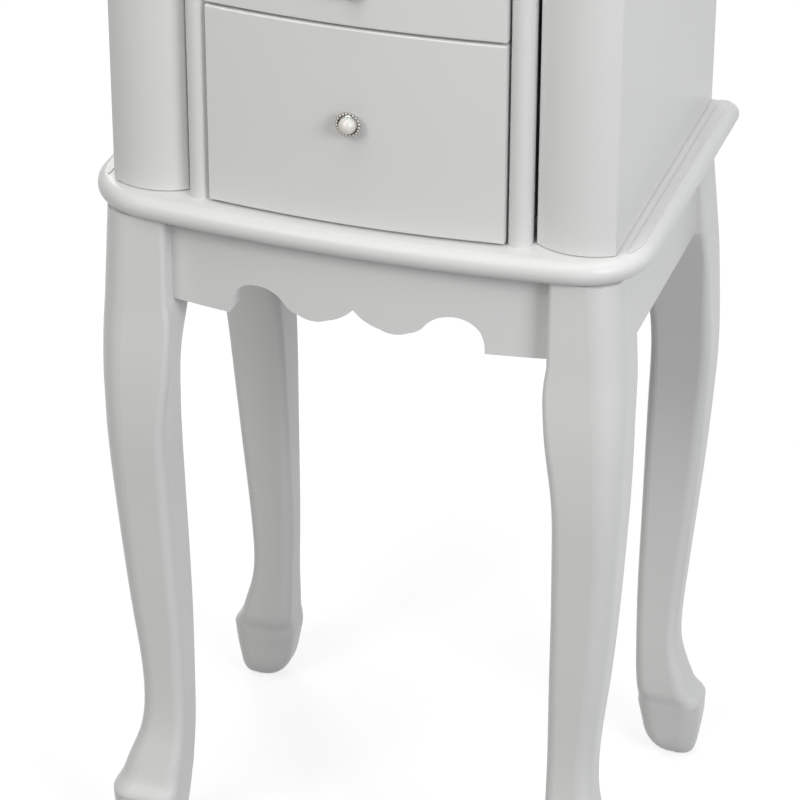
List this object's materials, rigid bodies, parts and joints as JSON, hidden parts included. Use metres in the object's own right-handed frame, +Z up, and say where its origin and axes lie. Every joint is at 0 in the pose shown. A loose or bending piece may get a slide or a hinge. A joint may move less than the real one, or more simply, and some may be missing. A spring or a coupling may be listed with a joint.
{
  "type": "jewelry mirror cabinet",
  "caption": "Free-standing jewellery cabinet on cabriole legs with bowed drawers, curved necklace doors at the sides and a flip-top mirror lid over a ring tray.",
  "frame": {"origin": "on the floor, at the middle of the footprint", "axes": "+Z up, front of the cabinet towards -Y, +X to the right of a person facing it"},
  "size_m": [0.419, 0.3304, 1.0268],
  "materials": {
    "lacquer": "semi-gloss white lacquer",
    "silver": "bright",
    "pearl": "pearl gloss",
    "hinge": "satin nickel",
    "steel": "zinc plated",
    "felt": "felt",
    "velvet": "velvet over board",
    "catch": "matte",
    "mirror": "silvered glass"
  },
  "bodies": {
    "cabinet": {"leg_front_left": "lacquer", "leg_front_right": "lacquer", "leg_back_left": "lacquer", "leg_back_right": "lacquer", "apron_front": "lacquer", "side_rails": "lacquer", "back_rail": "lacquer", "corner_blocks": "lacquer", "base_board": "lacquer", "leg_bolts": "steel", "foot_glides": "felt", "carcass_walls": "lacquer", "back_panel": "lacquer", "stiles": "lacquer", "drawer_runners": "lacquer", "tray_floor": "lacquer", "frieze_front": "lacquer", "frieze_sides": "lacquer", "frieze_back": "lacquer", "tray_dividers": "velvet", "ring_rolls": "velvet", "door_magnets": "catch", "door_hinge_leaves": "hinge", "lid_hinge_fixed_leaves": "hinge"},
    "lid": {"lid_board": "lacquer", "lid_mirror": "mirror", "mirror_frame": "lacquer", "lid_hinge_leaves": "hinge"},
    "door_left": {"door_left_column": "lacquer", "door_left_panel": "lacquer", "door_left_blocks": "lacquer", "door_left_rack": "silver", "door_left_knob": "silver", "door_left_pearl": "pearl", "door_left_hardware": "hinge"},
    "door_right": {"door_right_column": "lacquer", "door_right_panel": "lacquer", "door_right_blocks": "lacquer", "door_right_rack": "silver", "door_right_knob": "silver", "door_right_pearl": "pearl", "door_right_hardware": "hinge"},
    "drawer_1": {"drawer_1_front": "lacquer", "drawer_1_box": "lacquer", "drawer_1_knob": "silver", "drawer_1_pearl": "pearl"},
    "drawer_2": {"drawer_2_front": "lacquer", "drawer_2_box": "lacquer", "drawer_2_knob": "silver", "drawer_2_pearl": "pearl"},
    "drawer_3": {"drawer_3_front": "lacquer", "drawer_3_box": "lacquer", "drawer_3_knob": "silver", "drawer_3_pearl": "pearl"},
    "drawer_4": {"drawer_4_front": "lacquer", "drawer_4_box": "lacquer", "drawer_4_knob": "silver", "drawer_4_pearl": "pearl"}
  },
  "joints": [
    {"name": "lid_hinge", "type": "hinge", "parent": "cabinet", "child": "lid", "pos_m": [0, 0.1409, 1.0029], "axis": [-1, 0, 0], "range_deg": [0, 95]},
    {"name": "door_left_hinge", "type": "hinge", "parent": "cabinet", "child": "door_left", "pos_m": [-0.1781, 0.1409, 0.77735], "axis": [0, 0, -1], "range_deg": [0, 110]},
    {"name": "door_right_hinge", "type": "hinge", "parent": "cabinet", "child": "door_right", "pos_m": [0.1781, 0.1409, 0.77735], "axis": [0, 0, 1], "range_deg": [0, 110]},
    {"name": "drawer_1_slide", "type": "slide", "parent": "cabinet", "child": "drawer_1", "axis": [0, -1, 0], "range_m": [0, 0.16]},
    {"name": "drawer_2_slide", "type": "slide", "parent": "cabinet", "child": "drawer_2", "axis": [0, -1, 0], "range_m": [0, 0.16]},
    {"name": "drawer_3_slide", "type": "slide", "parent": "cabinet", "child": "drawer_3", "axis": [0, -1, 0], "range_m": [0, 0.16]},
    {"name": "drawer_4_slide", "type": "slide", "parent": "cabinet", "child": "drawer_4", "axis": [0, -1, 0], "range_m": [0, 0.16]}
  ]
}
